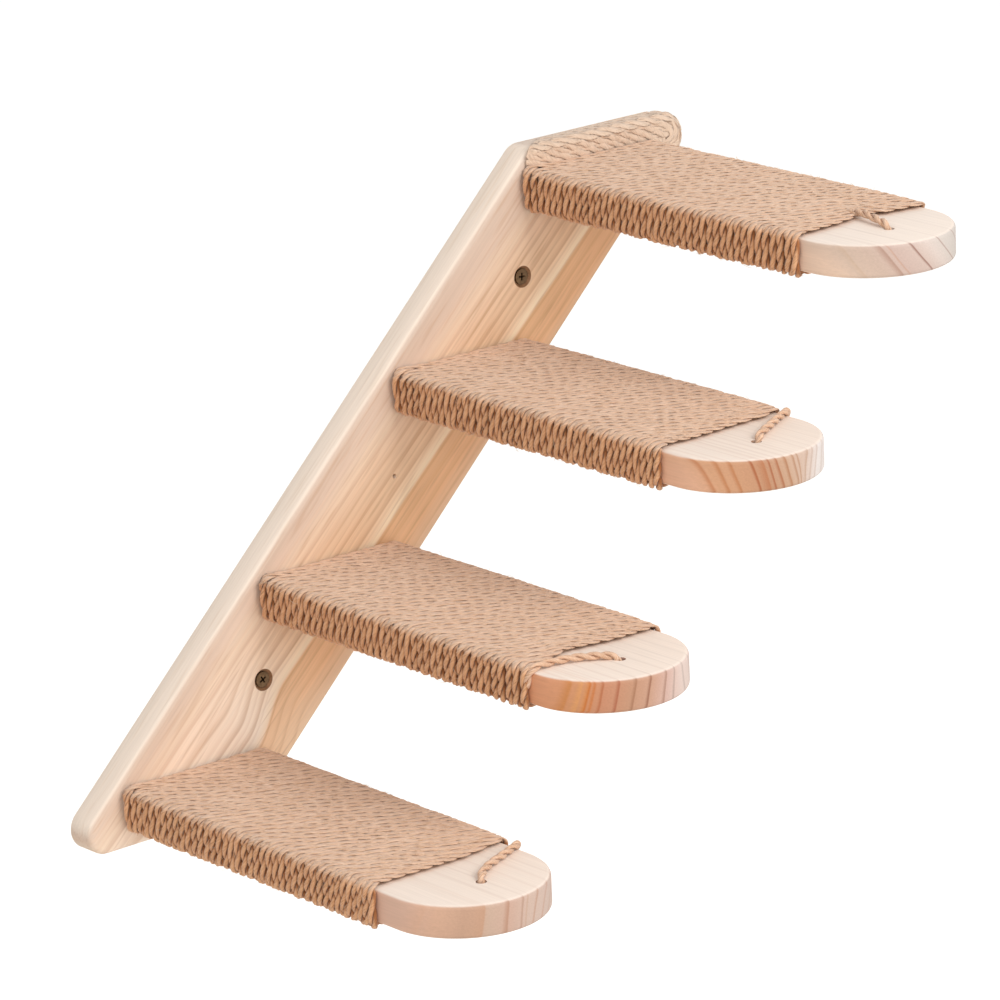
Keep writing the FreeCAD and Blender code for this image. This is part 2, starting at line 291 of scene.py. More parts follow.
def layRings(tree, colour, place, rings, span, force):
    for first in range(0, len(rings), pine["rampRings"]):
        some = rings[first : first + pine["rampRings"]]
        stops = [(span[0], some[0][2], 0)]
        for edge, width, late, strength in some:
            if edge - width > stops[-1][0] + 0.3:
                stops.append((edge - width, late, 0))
            stops += [(edge, late, strength), (edge + pine["ringFade"], late, 0)]
        ramp = setStops(addNode(tree, "ShaderNodeValToRGB", {0: place}), stops, span)
        amount = addNode(tree, "ShaderNodeMath", {0: ramp.outputs["Alpha"], 1: force}, operation="MULTIPLY")
        colour = addNode(tree, "ShaderNodeMix", {0: amount, 6: colour, 7: ramp}, data_type="RGBA").outputs[2]
    return colour


def finishWood(tree, shader, colour, fibres):
    shade = addNode(tree, "ShaderNodeMapRange", {0: fibres, 1: 0.3, 2: 0.7, 3: 0.94, 4: 1.04})
    tone = addNode(tree, "ShaderNodeCombineColor", {0: shade, 1: shade, 2: shade})
    tinted = addNode(tree, "ShaderNodeMix", {0: 1.0, 6: colour, 7: tone}, data_type="RGBA", blend_type="MULTIPLY")
    bump = addNode(tree, "ShaderNodeBump", {"Height": fibres, "Strength": 0.25, "Distance": pine["fibreBump"]})
    feed(shader, {"Base Color": tinted.outputs[2], "Normal": bump, "Roughness": pine["roughness"], "IOR": pine["ior"]})


def stepPine(number):  # sanded bare pine, matt, grain along the step, rings open on the round nose
    grain = stepGrain[number]
    low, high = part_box(f"step_board_{number}")
    middle = (low + high) / 2
    material, tree, shader = newMaterial(f"sandedPineStep{number}")
    place = addNode(tree, "ShaderNodeTexCoord").outputs["Object"]
    local = addNode(tree, "ShaderNodeMapping", {"Vector": place, "Location": (-middle.x, 0, -middle.z)})
    u, w, v = addNode(tree, "ShaderNodeSeparateXYZ", {0: local}).outputs
    fibres = woodNoise(tree, (u, v, w), pine["fibreScale"], (number, number, 0), 3.0, 0.6)
    left, right, start, end = grain["lean"]
    lean = addNode(tree, "ShaderNodeMapRange", {0: u, 1: start * mm, 2: end * mm, 3: left, 4: right})
    level = addNode(tree, "ShaderNodeMath", {0: lean, 1: v}, operation="MULTIPLY")
    drift = woodNoise(tree, (u, v, w), pine["stepDrift"], (number * 3.1, 0, 0), 2.0)
    sway = addNode(tree, "ShaderNodeMapRange", {0: drift, 3: -pine["stepSway"], 4: pine["stepSway"]})
    place = addNode(tree, "ShaderNodeMath", {0: u, 1: level}, operation="SUBTRACT")
    place = addNode(tree, "ShaderNodeMath", {0: place, 1: sway}, operation="ADD")
    place = addNode(tree, "ShaderNodeMapRange", {0: place, 1: stepSpan[0] * mm, 2: stepSpan[1] * mm})
    # side: the sides take the darker ground tones, partly end grain and partly painted shade
    facing = addNode(tree, "ShaderNodeNewGeometry").outputs["Normal"]
    facing = addNode(tree, "ShaderNodeSeparateXYZ", {0: facing}).outputs[2]
    upright = addNode(tree, "ShaderNodeMath", {0: facing}, operation="ABSOLUTE")
    side = addNode(tree, "ShaderNodeMapRange", {0: upright, 1: 0.55, 2: 0.98, 3: 1.0, 4: 0.0},
                   interpolation_type="SMOOTHSTEP")
    tones = setStops(addNode(tree, "ShaderNodeValToRGB", {0: place}), zip(toneReach, grain["ground"]), stepSpan)
    ground = addNode(tree, "ShaderNodeMix", {0: side, 6: linear(pine["top"]), 7: tones}, data_type="RGBA").outputs[2]
    force = addNode(tree, "ShaderNodeMapRange", {0: side, 3: 0.16, 4: 1.0})
    finishWood(tree, shader, layRings(tree, ground, place, grain["rings"], stepSpan, force), fibres)
    return material


def boardPine():  # one sanded plank, matt, with a zone of orange heartwood along its lower edge
    grain = boardGrain
    span = grain["span"]
    material, tree, shader = newMaterial("sandedPineBoard")
    place = addNode(tree, "ShaderNodeTexCoord").outputs["Object"]
    across, along = (addNode(tree, "ShaderNodeVectorMath", {0: place, 1: way}, operation="DOT_PRODUCT").outputs["Value"]
                     for way in (acrossBoard, alongBoard))
    axes = (across, addNode(tree, "ShaderNodeSeparateXYZ", {0: place}).outputs[1], along)
    fibres = woodNoise(tree, axes, pine["fibreScale"], (2.6, 2.6, 0), 3.0, 0.6)
    flecks = woodNoise(tree, axes, grain["fleckScale"], (1.4, 0, 1.4), 1.0)
    flecks = addNode(tree, "ShaderNodeMapRange", {0: flecks, 1: 0.54, 2: 0.74, 3: 0.0, 4: 0.26},
                     interpolation_type="SMOOTHSTEP")
    near, far = grain["heartLine"]
    edge = addNode(tree, "ShaderNodeMapRange", {0: along, 1: -150 * mm, 2: 150 * mm, 3: near * mm, 4: far * mm},
                   clamp=False)
    bend, close, foot = (addNode(tree, "ShaderNodeMapRange", {0: way, 1: start * mm, 2: end * mm, 3: first, 4: last},
                                 interpolation_type="SMOOTHSTEP")
                         for way, start, end, first, last in (
                             (along, -185, -142, grain["footBend"] * mm, 0.0),
                             (across, -34, 8, 0.0, 1.0),  # grain far from the heartwood stays straight
                             (along, -185, -105, 1.0, 0.0)))
    edge = addNode(tree, "ShaderNodeMath", {0: bend, 1: close, 2: edge}, operation="MULTIPLY_ADD")
    past = addNode(tree, "ShaderNodeMath", {0: across, 1: edge}, operation="SUBTRACT")
    drift = woodNoise(tree, axes, pine["boardDrift"], (0, 0, 0), 2.0)
    sway = addNode(tree, "ShaderNodeMapRange", {0: drift, 3: -pine["boardSway"], 4: pine["boardSway"]})
    place = addNode(tree, "ShaderNodeMath", {0: past, 1: sway}, operation="ADD")
    place = addNode(tree, "ShaderNodeMapRange", {0: place, 1: span[0] * mm, 2: span[1] * mm})
    tones, footTones = (setStops(addNode(tree, "ShaderNodeValToRGB", {0: place}), grain[key], span)
                        for key in ("tones", "footTones"))
    tones = addNode(tree, "ShaderNodeMix", {0: foot, 6: tones, 7: footTones}, data_type="RGBA").outputs[2]
    facing = addNode(tree, "ShaderNodeNewGeometry").outputs["Normal"]
    facing = addNode(tree, "ShaderNodeVectorMath", {0: facing, 1: -acrossBoard}, operation="DOT_PRODUCT")
    side = addNode(tree, "ShaderNodeMapRange", {0: facing.outputs["Value"], 1: 0.55, 2: 0.97, 3: 0.0, 4: 1.0},
                   interpolation_type="SMOOTHSTEP")
    ground, late = (addNode(tree, "ShaderNodeMix", {0: side, 6: face, 7: linear(grain[rim])},
                            data_type="RGBA").outputs[2]
                    for face, rim in ((tones, "edge"), (linear(grain["fleckFace"]), "fleckEdge")))
    force = addNode(tree, "ShaderNodeMapRange", {0: side, 3: 1.0, 4: 0.1})
    colour = layRings(tree, ground, place, grain["rings"], span, force)
    colour = addNode(tree, "ShaderNodeMix", {0: flecks, 6: colour, 7: late}, data_type="RGBA").outputs[2]
    finishWood(tree, shader, colour, fibres)
    return material


# Jute twine

jute = {
    "light": "EECFB6",
    "middle": "DDB596",
    "dark": "A27450",
    # painted shade in the gaps between turns and plies
    "paintedCreviceShade": "95602F",
    "shaded": "FAE3C7",  # painted shade: a darker, warmer tint on the sides, where less light falls than on the top
    "worn": "D7CBBA",  # greyed where Top likeness passes 1
    "warm": "CC9468",  # patches of darker yarn
    "fleck": "6E4526",  # bits of bark left in the yarn
    "roughness": 0.85,
    "fibreTurn": -260.0,  # radians to the metre: a fibre goes round its ply once in 24 mm
    "fibreRun": 90.0,  # how fast the streaks change along the yarn
    "plyShift": 31.0,  # so the two plies differ
    "streakScale": 2.6,  # about eight streaks round a ply, coarser than real fibres to show
    "patchScale": 14.0,  # to the metre: patches 70 mm long
    "fleckScale": 1.9,  # about six bits of bark round a ply at most
}


def juteTwine():  # undyed jute yarn, matt and hairy, two plies twisted to the right
    material, tree, shader = newMaterial("naturalJuteTwine")
    skin, along, crown, top = (addNode(tree, "ShaderNodeAttribute", attribute_name=name).outputs
                               for name in ("skin", "along", "crown", "top"))
    spin = addNode(tree, "ShaderNodeMath", {0: along["Fac"], 1: jute["fibreTurn"]}, operation="MULTIPLY")
    turned = addNode(tree, "ShaderNodeVectorRotate", {"Vector": skin["Vector"], "Angle": spin}, rotation_type="Z_AXIS")
    u, v, ply = addNode(tree, "ShaderNodeSeparateXYZ", {0: turned}).outputs
    run = addNode(tree, "ShaderNodeMath", {0: along["Fac"], 1: jute["fibreRun"]}, operation="MULTIPLY")
    run = addNode(tree, "ShaderNodeMath", {0: ply, 1: jute["plyShift"], 2: run}, operation="MULTIPLY_ADD")
    fibre = addNode(tree, "ShaderNodeCombineXYZ", {0: u, 1: v, 2: run})
    streaks = addNode(tree, "ShaderNodeTexNoise",
                      {"Vector": fibre, "Scale": jute["streakScale"], "Detail": 4.0, "Roughness": 0.65})
    tone = setStops(addNode(tree, "ShaderNodeValToRGB", {0: streaks}),
                    ((0.3, jute["dark"]), (0.46, jute["middle"]), (0.68, jute["light"])), (0, 1))
    # the sides, where the turns face away from the top, take the painted side shade and a deeper painted crevice shade
    side = addNode(tree, "ShaderNodeMapRange", {0: top["Fac"], 1: 0.1, 2: 0.9, 3: 1.0, 4: 0.0},
                   interpolation_type="SMOOTHSTEP")
    # painted crevice shade: the low parts of each ply darkened, faintly on top and deeply on the sides
    depth = addNode(tree, "ShaderNodeMapRange", {0: side, 3: 0.12, 4: 0.9})
    low = addNode(tree, "ShaderNodeMapRange", {0: crown["Fac"], 1: 0.0, 2: 0.6, 3: depth, 4: 0.0},
                  interpolation_type="SMOOTHSTEP")
    patches = addNode(tree, "ShaderNodeTexNoise", {"W": along["Fac"], "Scale": jute["patchScale"]},
                      noise_dimensions="1D")
    warm = addNode(tree, "ShaderNodeMapRange", {0: patches, 1: 0.3, 2: 0.7, 3: 0.0, 4: 0.18})
    bark = addNode(tree, "ShaderNodeTexNoise", {"Vector": fibre, "Scale": jute["fleckScale"], "Detail": 1.0})
    bark = addNode(tree, "ShaderNodeMapRange", {0: bark, 1: 0.7, 2: 0.78, 3: 0.0, 4: 0.6},
                   interpolation_type="SMOOTHSTEP")
    worn = addNode(tree, "ShaderNodeMapRange", {0: top["Fac"], 1: 1.0, 2: 1.5, 3: 0.0, 4: 0.4})
    colour = tone
    for amount, layer in ((low, "paintedCreviceShade"), (warm, "warm"), (bark, "fleck")):
        colour = addNode(tree, "ShaderNodeMix", {0: amount, 6: colour, 7: linear(jute[layer])},
                         data_type="RGBA").outputs[2]
    # painted shade on the sides: the colour multiplied by the shaded tint
    shaded = addNode(tree, "ShaderNodeMix", {0: 1.0, 6: colour, 7: linear(jute["shaded"])},
                     data_type="RGBA", blend_type="MULTIPLY").outputs[2]
    for amount, layer in ((side, shaded), (worn, linear(jute["worn"]))):
        colour = addNode(tree, "ShaderNodeMix", {0: amount, 6: colour, 7: layer}, data_type="RGBA").outputs[2]
    bump = addNode(tree, "ShaderNodeBump", {"Height": streaks, "Strength": 0.6, "Distance": 0.4 * mm})
    feed(shader, {"Base Color": colour, "Normal": bump, "Roughness": jute["roughness"], "Sheen Weight": 0.25,
                  "Sheen Roughness": 0.5})
    return material


# Boards

boardShape = {
    "halfWidth": 50 * mm,
    "cornerRound": 13.5 * mm,
    "frontRound": 4 * mm,
    "backRound": 0.6 * mm,
    "cornerPoints": 14,
    "roundPoints": 6,
    "backPoints": 2,
    "smoothUnder": 32,  # degrees
    "screwReach": 150 * mm,  # of the wall screws from the middle, along the board
    "wallHole": (5 * mm, 11.8 * mm),  # for a thread and for a head of these widths
    "stepHole": (4.5 * mm, 8.5 * mm),
    "centreHole": 1.5 * mm,
    "shadeReach": 7.2 * mm,  # of the painted shade on the countersink round each wall screw
}

stepShape = {
    "edgeRound": 2.5 * mm,
    "roundPoints": 5,
    "nosePoints": 56,
    "smoothUnder": 32,
    "hole": 3.25 * mm,
    "holeInset": 34 * mm,  # from the tip of the nose
}

drilling = {
    "over": 1 * mm,  # that a cutter stands out of the wood
    "through": 21 * mm,
    "threadPlay": 0.1 * mm,
    "headPlay": 1 * mm,
    "segments": 40,
    # dark and light: the painted shade of the countersinks, mixed in patches
    "dark": "6E4A30",
    "light": "A77D58",
    "patchScale": 500.0,  # to the metre: patches 2 mm wide
}


def countersinkShadePine():  # painted shade in the countersinks: pine coloured dark brown, dull, with uneven patches
    material, tree, shader = newMaterial("countersinkShadePine")
    place = addNode(tree, "ShaderNodeTexCoord").outputs["Object"]
    shadePatches = addNode(tree, "ShaderNodeTexNoise", {"Vector": place, "Scale": drilling["patchScale"], "Detail": 2.0})
    colour = addNode(tree, "ShaderNodeMix", {0: shadePatches, 6: linear(drilling["dark"]), 7: linear(drilling["light"])},
                     data_type="RGBA")
    feed(shader, {"Base Color": colour.outputs[2], "Roughness": 0.7, "IOR": pine["ior"]})
    return material


def roundedOutline(corners, radius, count):
    outline = []
    for index, corner in enumerate(corners):
        back = (corners[index - 1] - corner).normalized()
        ahead = (corners[(index + 1) % len(corners)] - corner).normalized()
        halfTurn = (math.pi - back.angle(ahead)) / 2
        start = corner + back * radius * math.tan(halfTurn)
        centre = corner + (back + ahead).normalized() * radius / math.cos(halfTurn)
        axis = back.cross(ahead).normalized()
        for step in range(count + 1):
            turn = Matrix.Rotation(-2 * halfTurn * step / count, 3, axis)
            outline.append(centre + turn @ (start - centre))
    return outline


def prism(nearOutline, farOutline):
    bm = bmesh.new()
    near, far = ([bm.verts.new(point) for point in outline] for outline in (nearOutline, farOutline))
    bm.faces.new(near)
    bm.faces.new(far[::-1])
    for index in range(len(near)):
        follow = (index + 1) % len(near)
        bm.faces.new((near[follow], near[index], far[index], far[follow]))
    bmesh.ops.recalc_face_normals(bm, faces=bm.faces)
    return bm


def skinRings(name, rings):  # a closed skin over rings of points; a ring of one point is a tip
    bm = bmesh.new()
    rows = [[bm.verts.new(point) for point in ring] for ring in rings]
    count = max(len(row) for row in rows)
    for first, second in zip(rows, rows[1:]):
        for step in range(count):
            follow = (step + 1) % count
            loop = (first[step % len(first)], first[follow % len(first)],
                    second[follow % len(second)], second[step % len(second)])
            bm.faces.new(list(dict.fromkeys(loop)))
    bmesh.ops.recalc_face_normals(bm, faces=bm.faces)
    return objectFrom(name, bm)


def drill(place, direction, radius, mouth=None):  # the cutter for one hole, with a countersink if it has a mouth
    over, through = drilling["over"], drilling["through"]
    profile = [(0, -over), (radius, -over), (radius, through), (0, through)]
    if mouth:
        profile[1:2] = [(mouth + over, -over), (radius, mouth - radius)]
    spin = Vector((0, 0, 1)).rotation_difference(direction).to_matrix()
    rings = []
    for reach, depth in profile:
        count = drilling["segments"] if reach else 1
        angles = [math.tau * step / count for step in range(count)]
        rings.append([place + spin @ Vector((reach * math.cos(a), reach * math.sin(a), depth)) for a in angles])
    return skinRings("hole", rings)


def cut(piece, cutters):
    for cutter in cutters:
        modifier = piece.modifiers.new("hole", "BOOLEAN")
        modifier.operation = "DIFFERENCE"
        modifier.solver = "EXACT"
        modifier.object = cutter
    settle(piece)
    for cutter in cutters:
        bpy.data.objects.remove(cutter)


def roundEdges(bm, edges, radius, count):
    bmesh.ops.bevel(bm, geom=edges, offset=radius, segments=count, profile=0.5, affect="EDGES", clamp_overlap=True)


def screwPlaces():
    low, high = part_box("wall_board")
    wall = [alongBoard * boardShape["screwReach"] * side + Vector((0, low.y, 0)) for side in (-1, 1)]
    steps = []
    for number in stepNumbers:
        low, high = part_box(f"step_screws_{number}")
        radius = (high.z - low.z) / 2
        steps.append([Vector((x, 0, (low.z + high.z) / 2)) for x in (low.x + radius, high.x - radius)])
    return wall, steps


def makeBoard(material, countersinkShade):
    low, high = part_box("wall_board")
    front, top = low.y, high.z
    halfChord = boardShape["halfWidth"] / math.sin(slope)
    lean = top / math.tan(slope)
    corners = [Vector((-lean - halfChord, front, -top)), Vector((halfChord - lean, front, -top)),
               Vector((lean + halfChord, front, top)), Vector((lean - halfChord, front, top))]
    outline = roundedOutline(corners, boardShape["cornerRound"], boardShape["cornerPoints"])
    bm = prism(outline, [point + Vector((0, -front, 0)) for point in outline])
    bm.edges.ensure_lookup_table()
    for level, radius, count in ((front, boardShape["frontRound"], boardShape["roundPoints"]),
                                 (0, boardShape["backRound"], boardShape["backPoints"])):
        rim = [edge for edge in bm.edges if all(abs(vert.co.y - level) < 1e-6 for vert in edge.verts)]
        roundEdges(bm, rim, radius, count)
    piece = objectFrom("wall_board_pine", bm)
    wall, steps = screwPlaces()
    inward, outward = Vector((0, 1, 0)), Vector((0, -1, 0))
    holes = []
    for places, direction, (thread, head) in ((wall, inward, boardShape["wallHole"]),
                                              (sum(steps, []), outward, boardShape["stepHole"])):
        radius, mouth = thread / 2 + drilling["threadPlay"], head / 2 + drilling["headPlay"]
        holes += [drill(place, direction, radius, mouth) for place in places]
    holes.append(drill(Vector((0, front, 0)), inward, boardShape["centreHole"]))
    cut(piece, holes)
    smoothBy(piece.data, boardShape["smoothUnder"])
    piece.data.materials.clear()
    piece.data.materials.append(material)
    piece.data.materials.append(countersinkShade)
    # faces sunk in the wall screws' countersinks take the painted shade
    for face in piece.data.polygons:
        spot = Vector((face.center.x, 0, face.center.z))
        away = min((spot - Vector((place.x, 0, place.z))).length for place in wall)
        sunk = front + 0.01 * mm < face.center.y < -0.1 * mm
        face.material_index = 1 if away < boardShape["shadeReach"] and sunk else 0
    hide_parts("wall_board")
    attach(piece, "root")


def makeStep(number):
    low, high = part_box(f"step_board_{number}")
    half = (high.x - low.x) / 2
    centreX = (low.x + high.x) / 2
    noseY = low.y + half
    outline = [Vector((high.x, high.y, low.z)), Vector((high.x, noseY, low.z))]
    for step in range(1, stepShape["nosePoints"]):
        angle = math.pi * step / stepShape["nosePoints"]
        outline.append(Vector((centreX + half * math.cos(angle), noseY - half * math.sin(angle), low.z)))
    outline += [Vector((low.x, noseY, low.z)), Vector((low.x, high.y, low.z))]
    bm = prism(outline, [point + Vector((0, 0, high.z - low.z)) for point in outline])
    edges = []
    for edge in bm.edges:
        flat = abs(edge.verts[0].co.z - edge.verts[1].co.z) < 1e-6
        seated = all(abs(v.co.y - high.y) < 1e-6 for v in edge.verts)
        if flat and not seated:
            edges.append(edge)
    roundEdges(bm, edges, stepShape["edgeRound"], stepShape["roundPoints"])
    name = f"step_board_{number}_pine"
    piece = objectFrom(name, bm)
    cut(piece, [drill(Vector((centreX, low.y + stepShape["holeInset"], low.z)), Vector((0, 0, 1)), stepShape["hole"])])
    smoothBy(piece.data, stepShape["smoothUnder"])
    piece.data.materials.clear()
    piece.data.materials.append(stepPine(number))
    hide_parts(f"step_board_{number}")
    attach(piece, "root")


# Twine paths. Each is a list of points with the outward direction at each.

wind = {
    "turns": 41,
    "woundLength": 240 * mm,
    "height": 2.3 * mm,  # of the twine's middle above the wood
    "topLift": 0.9 * mm,  # where the turns lie on those beside them
    "spacing": 2.0 * mm,  # between points of the path
    "wander": 0.7 * mm,
    "bob": 0.25 * mm,
    "unevenness": 9,  # how fast both change along the twine
    "straightShare": 0.72,  # of the wound length, past which the turns lean over to the end line
    "bulge": 3.0 * mm,  # of the first turns at the wall, over the twine's own start
    "bulgeReach": 13 * mm,
    "bulgeAround": 25 * mm,  # from the near upper edge
}

endLines = {  # where the winding stops on top: share across the step from its near edge, mm along from the wall
    1: ((0, 236), (0.05, 230.5), (0.35, 231.8), (0.66, 232.5), (1, 227)),
    2: ((0, 246.5), (0.07, 241.5), (0.25, 239.5), (0.35, 234.5), (0.48, 237), (0.67, 240.5), (1, 241)),
    3: ((0, 243), (0.09, 236.5), (0.26, 238.5), (0.6, 236), (0.85, 235), (1, 229)),
    4: ((0, 246.6), (0.05, 242.5), (0.35, 240.2), (0.49, 236.9), (0.58, 231), (0.66, 238), (0.72, 241.4),
        (0.95, 244.5), (1, 240.5)),
}


def between(table, share):
    for (x0, y0), (x1, y1) in zip(table, table[1:]):
        if share <= x1:
            return y0 + (y1 - y0) * max(0, share - x0) / (x1 - x0)
    return table[-1][1]


def loopPoint(halfWide, halfHigh, bend, distance):  # a rounded rectangle, from the middle of its underside
    flatWide, flatHigh = halfWide - bend, halfHigh - bend
    corner = (math.pi * bend / 2, True)
    half, side, top = (flatWide, False), (2 * flatHigh, False), (2 * flatWide, False)
    place = Vector((0, -halfHigh))
    heading = Vector((-1, 0))
    for length, curved in (half, corner, side, corner, top, corner, side, corner, half):
        part = min(distance, length)
        if curved:
            centre = place + Vector((heading.y, -heading.x)) * bend
            turn = Matrix.Rotation(-part / bend, 2)
            place = centre + turn @ (place - centre)
            heading = turn @ heading
        else:
            place = place + heading * part
        distance -= part
        if distance <= 0:
            break
    return place, Vector((-heading.y, heading.x))


def windingPath(number):
    low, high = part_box(f"step_board_{number}")
    halfWide = (high.x - low.x) / 2 + wind["height"]
    halfHigh = (high.z - low.z) / 2 + wind["height"]
    bend = stepShape["edgeRound"] + wind["height"]
    centre = (low + high) / 2
    perimeter = 4 * (halfWide + halfHigh) - 8 * bend + math.tau * bend
    wound, straight = wind["woundLength"], wind["straightShare"]
    pitch = wound / wind["turns"]
    points = []
    for index in range(int((wind["turns"] - 0.1) * perimeter / wind["spacing"])):
        distance = index * wind["spacing"]
        flat, outward = loopPoint(halfWide, halfHigh, bend, distance % perimeter)
        share = min(1, max(0, 0.5 + flat.x / (2 * halfWide)))
        reach = (distance / perimeter + 0.5) * pitch
        pull = max(0, reach / wound - straight) / (1 - straight)
        reach += (between(endLines[number], share) * mm - wound - pitch / 2) * pull**2
        seed = Vector((distance * wind["unevenness"], number * 7.3, 0))
        reach += noise.noise(seed) * wind["wander"]
        lift = noise.noise(seed + Vector((0, 0, 5))) * wind["bob"]
        lift += wind["topLift"] * max(0, outward.y) * (1 - 0.8 * pull**4)
        fromCorner = (flat - Vector((-halfWide, halfHigh))).length
        lift += wind["bulge"] * max(0, 1 - reach / wind["bulgeReach"]) * max(0, 1 - fromCorner / wind["bulgeAround"])
        place = (centre.x + flat.x + outward.x * lift, high.y - reach, centre.z + flat.y + outward.y * lift)
        points.append((Vector(place), Vector((outward.x, 0, outward.y))))
    return points


def pathMesh(name, *lines):
    mesh = bpy.data.meshes.new(name)
    points = [spot for line in lines for spot in line]
    edges = []
    for line in lines:
        first = edges[-1][1] + 1 if edges else 0
        edges += [(first + i, first + i + 1) for i in range(len(line) - 1)]
    mesh.from_pydata([point for point, outward in points], edges, [])
    layer = mesh.attributes.new("outward", "FLOAT_VECTOR", "POINT")
    layer.data.foreach_set("vector", [value for point, outward in points for value in outward])
    return newObject(name, mesh)


# Twine: two plies twisted about the path and pressed flat against what they lie on

twine = {
    "Ply radius": 1.5 * mm,
    "Ply fullness": 1.3,  # how much wider than its radius a ply bulges beside its partner
    "Lay length": 21.3 * mm,
    "Press": 0.8,  # height kept, as a share
    "Spread": 1.0,
    "Top likeness": 0.0,  # 1 where every side is as flat as the top and has none of the sides' painted shade
    "Top press": 0.28,
    "Top spread": 1.52,
    "Wobble": 9.0,  # radians of uneven twist
    "Swell": 0.3,  # share by which a ply's thickness varies
    "Sides": 8,
    "Seed": 1.0,
}


def openTree(name, inputs):
    tree = bpy.data.node_groups.new(name, "GeometryNodeTree")
    tree.interface.new_socket("Geometry", in_out="OUTPUT", socket_type="NodeSocketGeometry")
    tree.interface.new_socket("Geometry", in_out="INPUT", socket_type="NodeSocketGeometry")
    kinds = {int: "Int", float: "Float", bpy.types.Material: "Material", bpy.types.Object: "Object"}
    for label, value in inputs.items():
        kind = next(kinds[known] for known in kinds if isinstance(value, known))
        tree.interface.new_socket(label, in_out="INPUT", socket_type="NodeSocket" + kind)
    return tree, addNode(tree, "NodeGroupInput").outputs, addNode(tree, "NodeGroupOutput")


def closeTree(tree, shape, given, out):  # the export drops instances, so they are made real
    real = addNode(tree, "GeometryNodeRealizeInstances", {0: shape})
    feed(out, {0: addNode(tree, "GeometryNodeSetMaterial", {"Geometry": real, "Material": given["Finish"]})})
    return tree


def runTree(piece, tree, inputs):
    modifier = piece.modifiers.new(tree.name, "NODES")
    modifier.node_group = tree
    for item in tree.interface.items_tree:
        if item.in_out == "INPUT" and item.name in inputs:
            modifier[item.identifier] = inputs[item.name]
    return settle(piece)


